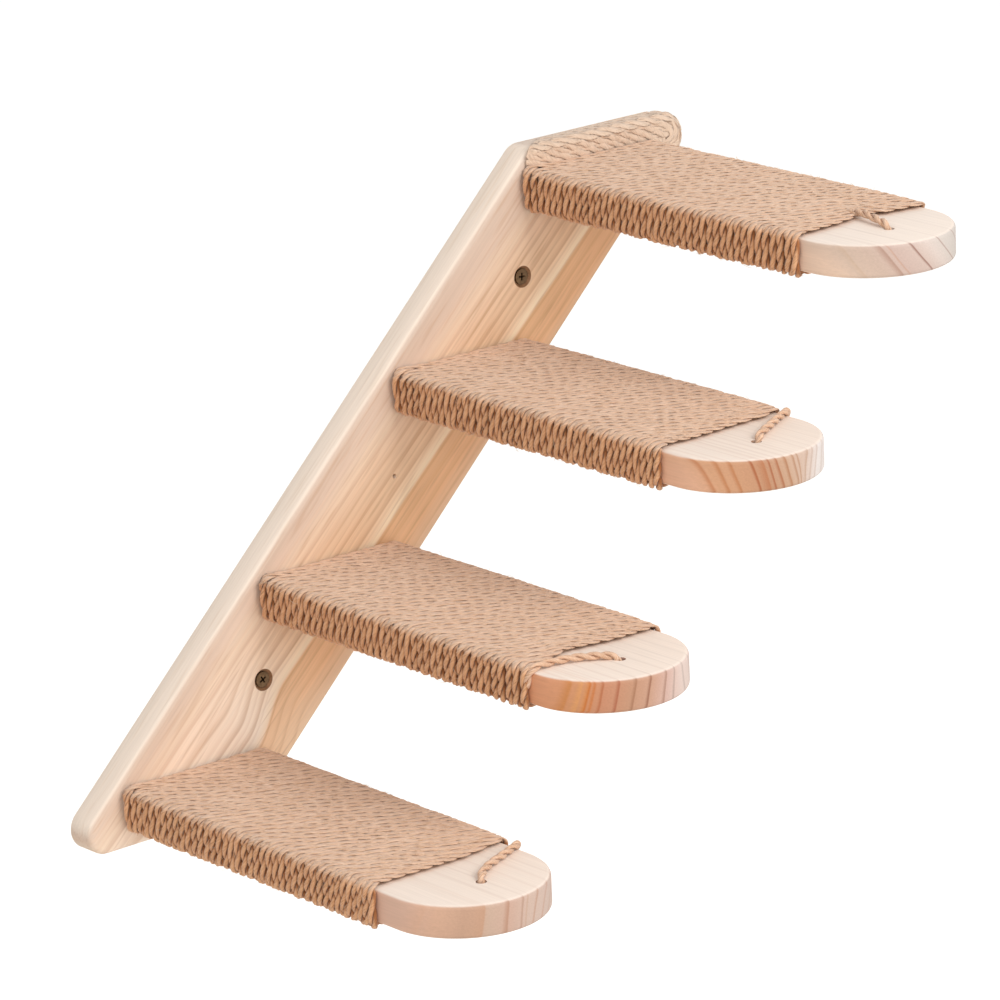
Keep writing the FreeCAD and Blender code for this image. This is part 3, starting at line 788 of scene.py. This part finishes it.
def twineTree(material):
    tree, given, out = openTree("layTwine", {**twine, "Finish": material})
    radius = given["Ply radius"]
    length = addNode(tree, "GeometryNodeSplineParameter").outputs["Length"]
    shifted = addNode(tree, "ShaderNodeMath", {0: length, 1: given["Seed"]}, operation="ADD")
    # the twist changes over 90 mm and the thickness over 10 mm
    uneven, thick = (addNode(tree, "ShaderNodeTexNoise", {"W": shifted, "Scale": scale, "Detail": detail},
                             noise_dimensions="1D") for scale, detail in ((11.0, 1.0), (95.0, 2.0)))
    wobble = addNode(tree, "ShaderNodeMath", {0: uneven, 1: given["Wobble"]}, operation="MULTIPLY")
    turns = addNode(tree, "ShaderNodeMath", {0: length, 1: given["Lay length"]}, operation="DIVIDE")
    tilt = addNode(tree, "ShaderNodeMath", {0: turns, 1: math.tau, 2: wobble}, operation="MULTIPLY_ADD")
    swell = addNode(tree, "ShaderNodeMath", {0: thick, 1: 0.5}, operation="SUBTRACT")
    swell = addNode(tree, "ShaderNodeMath", {0: swell, 1: given["Swell"], 2: 1.0}, operation="MULTIPLY_ADD")
    curve = addNode(tree, "GeometryNodeMeshToCurve", {0: given["Geometry"]})
    curve = addNode(tree, "GeometryNodeSetCurveTilt", {"Curve": curve, "Tilt": tilt})
    curve = addNode(tree, "GeometryNodeSetCurveRadius", {"Curve": curve, "Radius": swell})
    place = addNode(tree, "GeometryNodeInputPosition")
    for name, kind, value in (("middle", "FLOAT_VECTOR", place), ("along", "FLOAT", length)):
        curve = addNode(tree, "GeometryNodeStoreNamedAttribute", {"Geometry": curve, "Name": name, "Value": value},
                        data_type=kind)
    plies = addNode(tree, "GeometryNodeJoinGeometry")
    full = addNode(tree, "ShaderNodeCombineXYZ", {0: 1.0, 1: given["Ply fullness"], 2: 1.0})
    factor = addNode(tree, "GeometryNodeSplineParameter").outputs["Factor"]
    around = addNode(tree, "ShaderNodeMath", {0: factor, 1: math.tau}, operation="MULTIPLY")
    cosine, sine = (addNode(tree, "ShaderNodeMath", {0: around}, operation=kind) for kind in ("COSINE", "SINE"))
    for ply in (0, 1):
        ring = addNode(tree, "GeometryNodeCurvePrimitiveCircle", {"Resolution": given["Sides"], "Radius": radius})
        skin = addNode(tree, "ShaderNodeCombineXYZ", {0: cosine, 1: sine, 2: float(ply)})
        named = addNode(tree, "GeometryNodeStoreNamedAttribute", {"Geometry": ring, "Name": "skin", "Value": skin},
                        data_type="FLOAT_VECTOR")
        aside = addNode(tree, "ShaderNodeMath", {0: radius, 1: 0.98 * (2 * ply - 1)},
                        operation="MULTIPLY")  # the plies press into each other a little
        shift = addNode(tree, "ShaderNodeCombineXYZ", {0: aside})
        moved = addNode(tree, "GeometryNodeTransform", {"Geometry": named, "Translation": shift, "Scale": full})
        feed(plies, {0: moved})
    tube = addNode(tree, "GeometryNodeCurveToMesh", {"Curve": curve, "Profile Curve": plies, "Fill Caps": True})
    middle, outward = (addNode(tree, "GeometryNodeInputNamedAttribute", {"Name": name}, data_type="FLOAT_VECTOR")
                       for name in ("middle", "outward"))
    offset = addNode(tree, "ShaderNodeVectorMath", {0: place, 1: middle}, operation="SUBTRACT")
    height = addNode(tree, "ShaderNodeVectorMath", {0: offset, 1: outward}, operation="DOT_PRODUCT").outputs["Value"]
    rise = addNode(tree, "ShaderNodeVectorMath", {0: outward, "Scale": height}, operation="SCALE")
    lateral = addNode(tree, "ShaderNodeVectorMath", {0: offset, 1: rise}, operation="SUBTRACT")
    # how much a point counts as top: pressed like the top and spared the painted side shade
    top = addNode(tree, "ShaderNodeSeparateXYZ", {0: outward}).outputs[2]
    top = addNode(tree, "ShaderNodeMath", {0: top, 1: given["Top likeness"]}, operation="MAXIMUM")
    parts = []
    for part, usual, trodden in ((lateral, "Spread", "Top spread"), (rise, "Press", "Top press")):
        share = addNode(tree, "ShaderNodeMapRange", {0: top, 1: 0.3, 2: 1.0, 3: given[usual], 4: given[trodden]})
        parts.append(addNode(tree, "ShaderNodeVectorMath", {0: part, "Scale": share}, operation="SCALE"))
    total = addNode(tree, "ShaderNodeVectorMath", {0: parts[0], 1: parts[1]}, operation="ADD")
    total = addNode(tree, "ShaderNodeVectorMath", {0: total, 1: middle}, operation="ADD")
    span = addNode(tree, "ShaderNodeMath", {0: radius, 1: 2.0}, operation="MULTIPLY")
    crown = addNode(tree, "ShaderNodeMath", {0: height, 1: span}, operation="DIVIDE")
    for name, value in (("crown", crown), ("top", top)):
        tube = addNode(tree, "GeometryNodeStoreNamedAttribute", {"Geometry": tube, "Name": name, "Value": value},
                       data_type="FLOAT")
    tube = addNode(tree, "GeometryNodeSetPosition", {"Geometry": tube, "Position": total})
    for name in ("middle", "outward"):
        tube = addNode(tree, "GeometryNodeRemoveAttribute", {"Geometry": tube, "Name": name})
    return closeTree(tree, addNode(tree, "GeometryNodeSetShadeSmooth", {"Geometry": tube}), given, out)


def makeWinding(number, tree, material):
    piece = pathMesh(f"twine_wrap_{number}_jute", windingPath(number))
    runTree(piece, tree, {**twine, "Seed": number * 3.7, "Finish": material})
    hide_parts(f"twine_wrap_{number}")
    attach(piece, "root")
    return piece


tailRoutes = {  # mm across from the near edge, out from the wall, and up from the step's top
    1: ((101.6, 227, -9), (102.8, 232, -4), (101, 239, 2), (95, 242.5, 2.8), (80, 248.8, 2.8), (66, 254, 2.8),
        (54.5, 261, 2.8), (50, 266, 0.5), (50, 266, -12)),
    2: ((-1.4, 243, -9), (-1.8, 245, -2), (1.5, 246.6, 2.8), (11.6, 246.2, 2.8), (20.3, 247.9, 2.8),
        (28.5, 250.6, 2.8), (36, 255.5, 2.8), (44, 261, 2.8), (50, 266, 1), (50, 266, -12)),
    3: ((101.6, 229, -9), (102.8, 233, -4), (101, 238.5, 2), (95, 242, 2.8), (84, 247.5, 2.8), (71, 254.8, 2.8),
        (60, 260.4, 2.8), (51.5, 265.5, 1.5), (50, 266, -12)),
    4: ((56, 226, 1.5), (55.5, 232, 3.4), (54.5, 238, 4.4), (53.5, 245, 4.2), (52, 253, 3.6), (50.5, 261, 3),
        (50, 266, 0), (50, 266, -12)),
}

tail = {"Lay length": 18 * mm, "Ply radius": 1.25 * mm, "Press": 1.0, "Top press": 1.0, "Top spread": 1.0,
        "Wobble": 2.0, "Swell": 0.15}


def smoothRoute(points):  # points read back from a spline through the route
    curve = bpy.data.curves.new("route", "CURVE")
    curve.dimensions = "3D"
    curve.resolution_u = 10
    spline = curve.splines.new("NURBS")
    spline.points.add(len(points) - 1)
    for point, place in zip(spline.points, points):
        point.co = (*place, 1)
    spline.order_u = 3
    spline.use_endpoint_u = True
    holder = newObject("route", curve)
    mesh = bpy.data.meshes.new_from_object(holder.evaluated_get(bpy.context.evaluated_depsgraph_get()))
    bpy.data.objects.remove(holder)
    return [vert.co.copy() for vert in mesh.vertices]


def makeTail(number, tree, material):
    low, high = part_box(f"step_board_{number}")
    route = [(low.x + x * mm, high.y - reach * mm, high.z + up * mm) for x, reach, up in tailRoutes[number]]
    piece = pathMesh(f"twine_tail_{number}_jute", [(place, Vector((0, 0, 1))) for place in smoothRoute(route)])
    runTree(piece, tree, {**twine, **tail, "Seed": number * 5.1, "Finish": material})
    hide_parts(f"twine_tail_{number}")
    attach(piece, "root")


binding = {
    "rows": 5,
    "innerRows": 3,  # more rows on the front, seen only beside the top step
    "pitch": 4.9 * mm,
    "start": 172.9 * mm,  # level of the lowest long row, on the top step's winding
    "left": 114,  # mm from the middle to the left end of the lowest row
    "leftLean": 24,  # mm that the last row starts further right
    "height": 1.3 * mm,  # of the twine's middle above the wood, pressed flatter than on the steps
    "spacing": 2.2 * mm,
    "sideEnd": 152 * mm,  # level where the rows end beside the top step
    "sideRoom": 4.5 * mm,  # kept beside the top step
    "topRoom": 6 * mm,  # and above it
    "wave": 0.4 * mm,
}

bindingTwine = {"Top likeness": 1.5, "Top press": 0.2, "Top spread": 1.4, "Ply radius": 1.4 * mm, "Swell": 0.15}


def bindingEnd():  # the board's upper end: its level, its front, and the centre that its acute corner turns about
    low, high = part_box("wall_board")
    turn = boardShape["cornerRound"]
    sharp = high.z / math.tan(slope) + boardShape["halfWidth"] / math.sin(slope)
    return high.z, low.y, Vector((sharp - turn / math.tan(slope / 2), 0, high.z - turn))


def bindingPoint(way, reach):  # way runs along a row, reach across the rows from the front face to the rim
    top, front, corner = bindingEnd()
    radius = boardShape["frontRound"]
    out = binding["height"]
    turn = boardShape["cornerRound"]
    flat = top - radius - binding["start"]
    arc = (radius + out) * math.pi / 2
    if reach < flat:
        inset, depth, tilt = top - binding["start"] - reach, front - out, 0
    elif reach < flat + arc:
        tilt = (reach - flat) / (radius + out)
        inset = radius - (radius + out) * math.sin(tilt)
        depth = front + radius - (radius + out) * math.cos(tilt)
    else:
        inset, depth, tilt = -out, front + radius + reach - flat - arc, math.pi / 2
    bend = (math.pi - slope) * turn
    if way < corner.x:
        spot, edge = Vector((way, 0, top)), Vector((0, 0, 1))
    else:
        angle = min(way - corner.x, bend) / turn
        edge = Vector((math.sin(angle), 0, math.cos(angle)))
        spot = corner + edge * turn - alongBoard * max(0, way - corner.x - bend)
    outward = edge * math.sin(tilt) - Vector((0, math.cos(tilt), 0))
    return Vector((spot.x, depth, spot.z)) - edge * inset, outward


def innerRow(inset):  # past the corner's centre a row turns sharply and follows the board's lower edge
    _, front, corner = bindingEnd()
    first = Vector((0, 0, 1))
    second = Vector((math.sin(math.pi - slope), 0, math.cos(math.pi - slope)))
    knee = corner + (first + second) * (boardShape["cornerRound"] - inset) / (1 + first.dot(second))
    line = []
    way = max(0, knee.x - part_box("step_board_4")[1].x)
    while way > 0:
        line.append(knee - Vector((way, 0, 0)))
        way -= binding["spacing"]
    way = binding["spacing"]
    while (knee - alongBoard * way).z > binding["sideEnd"]:
        line.append(knee - alongBoard * way)
        way += binding["spacing"]
    return [(Vector((spot.x, front - binding["height"], spot.z)), Vector((0, -1, 0))) for spot in line]


def bindingPaths():
    top, _, corner = bindingEnd()
    pitch = binding["pitch"]
    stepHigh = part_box("step_board_4")[1]
    points = []
    for row in range(binding["rows"]):
        way = (binding["left"] + binding["leftLean"] * (row / (binding["rows"] - 1)) ** 1.4) * mm
        way += noise.noise(Vector((row * 3.3, 0, 0))) * 1.5 * mm
        line = []
        while True:
            wave = noise.noise(Vector((way * 40, row * 2.1, 0))) * binding["wave"]
            spot, outward = bindingPoint(way, row * pitch + wave)
            beside = spot.x > stepHigh.x + binding["sideRoom"] or spot.z > stepHigh.z + binding["topRoom"]
            if way > corner.x and (not beside or spot.z < binding["sideEnd"]):
                break
            line.append((spot, outward))
            way += binding["spacing"]
        if row % 2:
            line.reverse()
        if points:  # the bend from row to row
            last, outward = points[-1]
            lean = Vector((-pitch / 2, 0, 0)) if row % 2 == 0 else alongBoard * -pitch / 2
            for angle in (math.pi / 4, math.pi / 2, math.pi * 3 / 4):
                middle = last.lerp(line[0][0], (1 - math.cos(angle)) / 2)
                points.append((middle + lean * math.sin(angle), outward))
        points += line
    inner = [innerRow(top - binding["start"] + row * pitch) for row in range(1, binding["innerRows"] + 1)]
    return [points] + [line for line in inner if len(line) > 3]


def makeBinding(tree, material):
    piece = pathMesh("board_end_binding_jute", *bindingPaths())
    runTree(piece, tree, {**twine, **bindingTwine, "Seed": 31.0, "Finish": material})
    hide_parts("board_end_binding")
    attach(piece, "root")


# Stray jute fibres that stand off the twine, drawn thicker than real ones to show

fibres = {
    "Density": 13000.0,  # to the square metre of twine
    "Fibre length": 5.0 * mm,
    "Fibre width": 0.17 * mm,
    "Arch": 1.1 * mm,
    "Seed": 1,
}

fibreLook = {
    "dark": "C99B6E",
    "light": "F6DFC4",
    "roughness": 0.6,
    "shiftScale": 160.0,  # to the metre: the colour changes over 6 mm
}


def fibreTree(material):
    tree, given, out = openTree("strayFibres", {**fibres, "Finish": material})
    crown = addNode(tree, "GeometryNodeInputNamedAttribute", {"Name": "crown"}, data_type="FLOAT")
    high = addNode(tree, "ShaderNodeMath", {0: crown, 1: 0.35}, operation="GREATER_THAN")
    spots = addNode(tree, "GeometryNodeDistributePointsOnFaces",
                    {"Mesh": given["Geometry"], "Selection": high, "Density": given["Density"], "Seed": given["Seed"]})
    half, back, radius = (addNode(tree, "ShaderNodeMath", {0: given[size], 1: share}, operation="MULTIPLY")
                          for size, share in (("Fibre length", 0.5), ("Fibre length", -0.5), ("Fibre width", 0.5)))
    root = addNode(tree, "ShaderNodeCombineXYZ", {0: back, 2: -0.3 * mm})
    bow = addNode(tree, "ShaderNodeCombineXYZ", {1: given["Arch"], 2: given["Arch"]})
    tip = addNode(tree, "ShaderNodeCombineXYZ", {0: half, 2: given["Arch"]})
    line = addNode(tree, "GeometryNodeCurveQuadraticBezier",
                   {"Resolution": 5, "Start": root, "Middle": bow, "End": tip})
    ring = addNode(tree, "GeometryNodeCurvePrimitiveCircle", {"Resolution": 3, "Radius": radius})
    hair = addNode(tree, "GeometryNodeCurveToMesh", {"Curve": line, "Profile Curve": ring, "Fill Caps": True})
    luck = addNode(tree, "FunctionNodeRandomValue", {"Min": 0.0, "Max": math.tau, "Seed": given["Seed"]},
                   data_type="FLOAT")
    spin = addNode(tree, "ShaderNodeCombineXYZ", {2: luck.outputs[1]})
    spin = addNode(tree, "FunctionNodeEulerToRotation", {0: spin})
    turned = addNode(tree, "FunctionNodeRotateRotation", {0: spots.outputs["Rotation"], 1: spin},
                     rotation_space="LOCAL")
    size = addNode(tree, "FunctionNodeRandomValue", {"Min": 0.4, "Max": 1.3, "Seed": 5}, data_type="FLOAT")
    placed = addNode(tree, "GeometryNodeInstanceOnPoints",
                     {"Points": spots, "Instance": hair, "Rotation": turned, "Scale": size.outputs[1]})
    return closeTree(tree, placed, given, out)


def juteFibre():  # single fibres, pale and slightly shiny
    material, tree, shader = newMaterial("looseJuteFibre")
    place = addNode(tree, "ShaderNodeTexCoord").outputs["Object"]
    shift = addNode(tree, "ShaderNodeTexNoise", {"Vector": place, "Scale": fibreLook["shiftScale"], "Detail": 1.0})
    dark, light = (linear(fibreLook[tone]) for tone in ("dark", "light"))
    colour = addNode(tree, "ShaderNodeMix", {0: shift, 6: dark, 7: light}, data_type="RGBA")
    feed(shader, {"Base Color": colour.outputs[2], "Roughness": fibreLook["roughness"]})
    return material


def makeFibres(number, tree, winding, material):
    piece = newObject(f"twine_wrap_{number}_fibres", winding.data.copy())
    piece.data.materials.clear()
    runTree(piece, tree, {**fibres, "Seed": number, "Finish": material})
    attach(piece, "root")


# Screws, in mm

wallScrew = {"length": 60, "head": 10, "rim": 0.5, "thread": 5, "shank": 3.6, "threaded": 40, "point": 6,
             "pitch": 2.4, "recess": 5, "smoothUnder": 35, "sunk": 0.7, "colour": "7D6248", "roughness": 0.38}
stepScrew = {"length": 60, "head": 8.5, "rim": 0.5, "thread": 4.5, "shank": 3.2, "threaded": 40, "point": 5,
             "pitch": 2.2, "recess": 4.4, "smoothUnder": 35, "sunk": 0.3, "colour": "C9C6BC", "roughness": 0.35}
wornColour = "3A2C20"  # of the specks on both


def platedSteel(name, screw):  # plated steel, half gloss, dulled in specks by handling
    material, tree, shader = newMaterial(name)
    place = addNode(tree, "ShaderNodeTexCoord").outputs["Object"]
    wear = addNode(tree, "ShaderNodeTexNoise", {"Vector": place, "Scale": 700.0, "Detail": 3.0})  # 1.4 mm specks
    tone = addNode(tree, "ShaderNodeMapRange", {0: wear, 1: 0.35, 2: 0.65, 3: 0.0, 4: 0.35})
    shade = addNode(tree, "ShaderNodeMix", {0: tone, 6: linear(screw["colour"]), 7: linear(wornColour)},
                    data_type="RGBA")
    rough = addNode(tree, "ShaderNodeMapRange", {0: wear, 3: screw["roughness"] - 0.1, 4: screw["roughness"] + 0.12})
    feed(shader, {"Base Color": shade.outputs[2], "Roughness": rough, "Metallic": 1.0})
    return material


def screwPiece(name, screw):  # head at the origin, the point towards +Z
    segments, perTurn = 20, 8
    head, shank, thread = screw["head"] / 2, screw["shank"] / 2, screw["thread"] / 2
    core = shank * 0.82
    start = screw["length"] - screw["threaded"]
    plain = [(0, 0), (head - 0.5, 0), (head - 0.1, 0.12), (head, 0.3), (head, 0.3 + screw["rim"]),
             (shank, screw["rim"] + head - shank), (shank, start - 1)]
    loops = [[(radius, depth)] * (segments if radius else 1) for radius, depth in plain]
    for index in range(int(screw["threaded"] / screw["pitch"] * perTurn) + 1):
        depth = start + index * screw["pitch"] / perTurn
        taper = max(0.04, min(1, (screw["length"] - depth) / screw["point"]))
        fade = min(1, index / perTurn)
        loop = []
        for segment in range(segments):
            phase = (index / perTurn - segment / segments) % 1
            crest = max(0, 1 - abs(phase - 0.5) * 3.4)
            loop.append(((core + (thread - core) * crest * fade) * taper, depth))
        loops.append(loop)
    loops.append([(0, screw["length"])])
    circle = [(math.cos(math.tau * i / segments), math.sin(math.tau * i / segments)) for i in range(segments)]
    rings = []
    for loop in loops:
        rings.append([(radius * mm * x, radius * mm * y, depth * mm) for (radius, depth), (x, y) in zip(loop, circle)])
    piece = skinRings(name, rings)
    wide, narrow, half = (screw["recess"] / part * mm for part in (2, 4, 9))
    deep, over = screw["recess"] * 0.52 * mm, drilling["over"]
    profile = ((-wide, -over), (wide, -over), (wide, 0), (narrow, deep), (-narrow, deep), (-wide, 0))
    blades = []
    for turn in (0, 1):
        spin = Matrix.Rotation(math.pi / 2 * turn, 3, "Z")
        sides = [[spin @ Vector((x, y, z)) for x, z in profile] for y in (-half, half)]
        blades.append(objectFrom("blade", prism(*sides)))
    cut(piece, blades)
    smoothBy(piece.data, screw["smoothUnder"])
    return piece


def screwTree(screw, material):  # screws in a row along X
    inputs = {"Screw": screw, "Count": 1, "Spacing": 0.0, "Turn": 0.0, "Finish": material}
    tree, given, out = openTree("placeScrews", inputs)
    row = addNode(tree, "ShaderNodeCombineXYZ", {0: given["Spacing"]})
    line = addNode(tree, "GeometryNodeMeshLine", {"Count": given["Count"], "Offset": row})
    back = addNode(tree, "ShaderNodeMath", {0: given["Count"], 1: 1.0}, operation="SUBTRACT")
    for factor in (given["Spacing"], -0.5):
        back = addNode(tree, "ShaderNodeMath", {0: back, 1: factor}, operation="MULTIPLY")
    shift = addNode(tree, "ShaderNodeCombineXYZ", {0: back})
    line = addNode(tree, "GeometryNodeSetPosition", {"Geometry": line, "Offset": shift})
    source = addNode(tree, "GeometryNodeObjectInfo", {"Object": given["Screw"]})
    luck = addNode(tree, "FunctionNodeRandomValue", {"Min": 0.0, "Max": math.pi, "Seed": 7}, data_type="FLOAT")
    angle = addNode(tree, "ShaderNodeMath", {0: luck.outputs[1], 1: given["Turn"]}, operation="ADD")
    spin = addNode(tree, "ShaderNodeCombineXYZ", {2: angle})
    placed = addNode(tree, "GeometryNodeInstanceOnPoints",
                     {"Points": line, "Instance": source.outputs["Geometry"], "Rotation": spin})
    return closeTree(tree, placed, given, out)


def makeScrews(bronze, zinc):
    longScrew = screwPiece("wallScrew", wallScrew)
    shortScrew = screwPiece("stepScrew", stepScrew)
    tree = screwTree(longScrew, bronze)
    wall, steps = screwPlaces()
    for name, place, turn in zip(("wall_screw_lower", "wall_screw_upper"), wall, (0.3, 0.9)):
        piece = newObject(name + "_steel", bpy.data.meshes.new("seat"))
        runTree(piece, tree, {"Screw": longScrew, "Count": 1, "Spacing": 0.0, "Turn": turn, "Finish": bronze})
        seat = place + Vector((0, wallScrew["sunk"] * mm, 0))
        piece.data.transform(Matrix.Translation(seat) @ Matrix.Rotation(-math.pi / 2, 4, "X"))
        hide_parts(name)
        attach(piece, "root")
    for number, (left, right) in zip(stepNumbers, steps):
        piece = newObject(f"step_screws_{number}_steel", bpy.data.meshes.new("seat"))
        runTree(piece, tree, {"Screw": shortScrew, "Count": 2, "Spacing": (right - left).x, "Turn": number * 0.7,
                              "Finish": zinc})
        seat = (left + right) / 2 - Vector((0, stepScrew["sunk"] * mm, 0))
        piece.data.transform(Matrix.Translation(seat) @ Matrix.Rotation(math.pi / 2, 4, "X"))
        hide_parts(f"step_screws_{number}")
        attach(piece, "root")
    bpy.data.objects.remove(longScrew)
    bpy.data.objects.remove(shortScrew)


makeCamera()
makeStudio()
print("stage: camera and studio")
juteFinish = juteTwine()
makeBoard(boardPine(), countersinkShadePine())
for number in stepNumbers:
    makeStep(number)
print("stage: boards")
fibreFinish = juteFibre()
tree = twineTree(juteFinish)
hairs = fibreTree(fibreFinish)
for number in stepNumbers:
    winding = makeWinding(number, tree, juteFinish)
    makeFibres(number, hairs, winding, fibreFinish)
    makeTail(number, tree, juteFinish)
makeBinding(tree, juteFinish)
print("stage: twine")
makeScrews(platedSteel("bronzedSteel", wallScrew), platedSteel("zincPlatedSteel", stepScrew))
print("stage: screws")
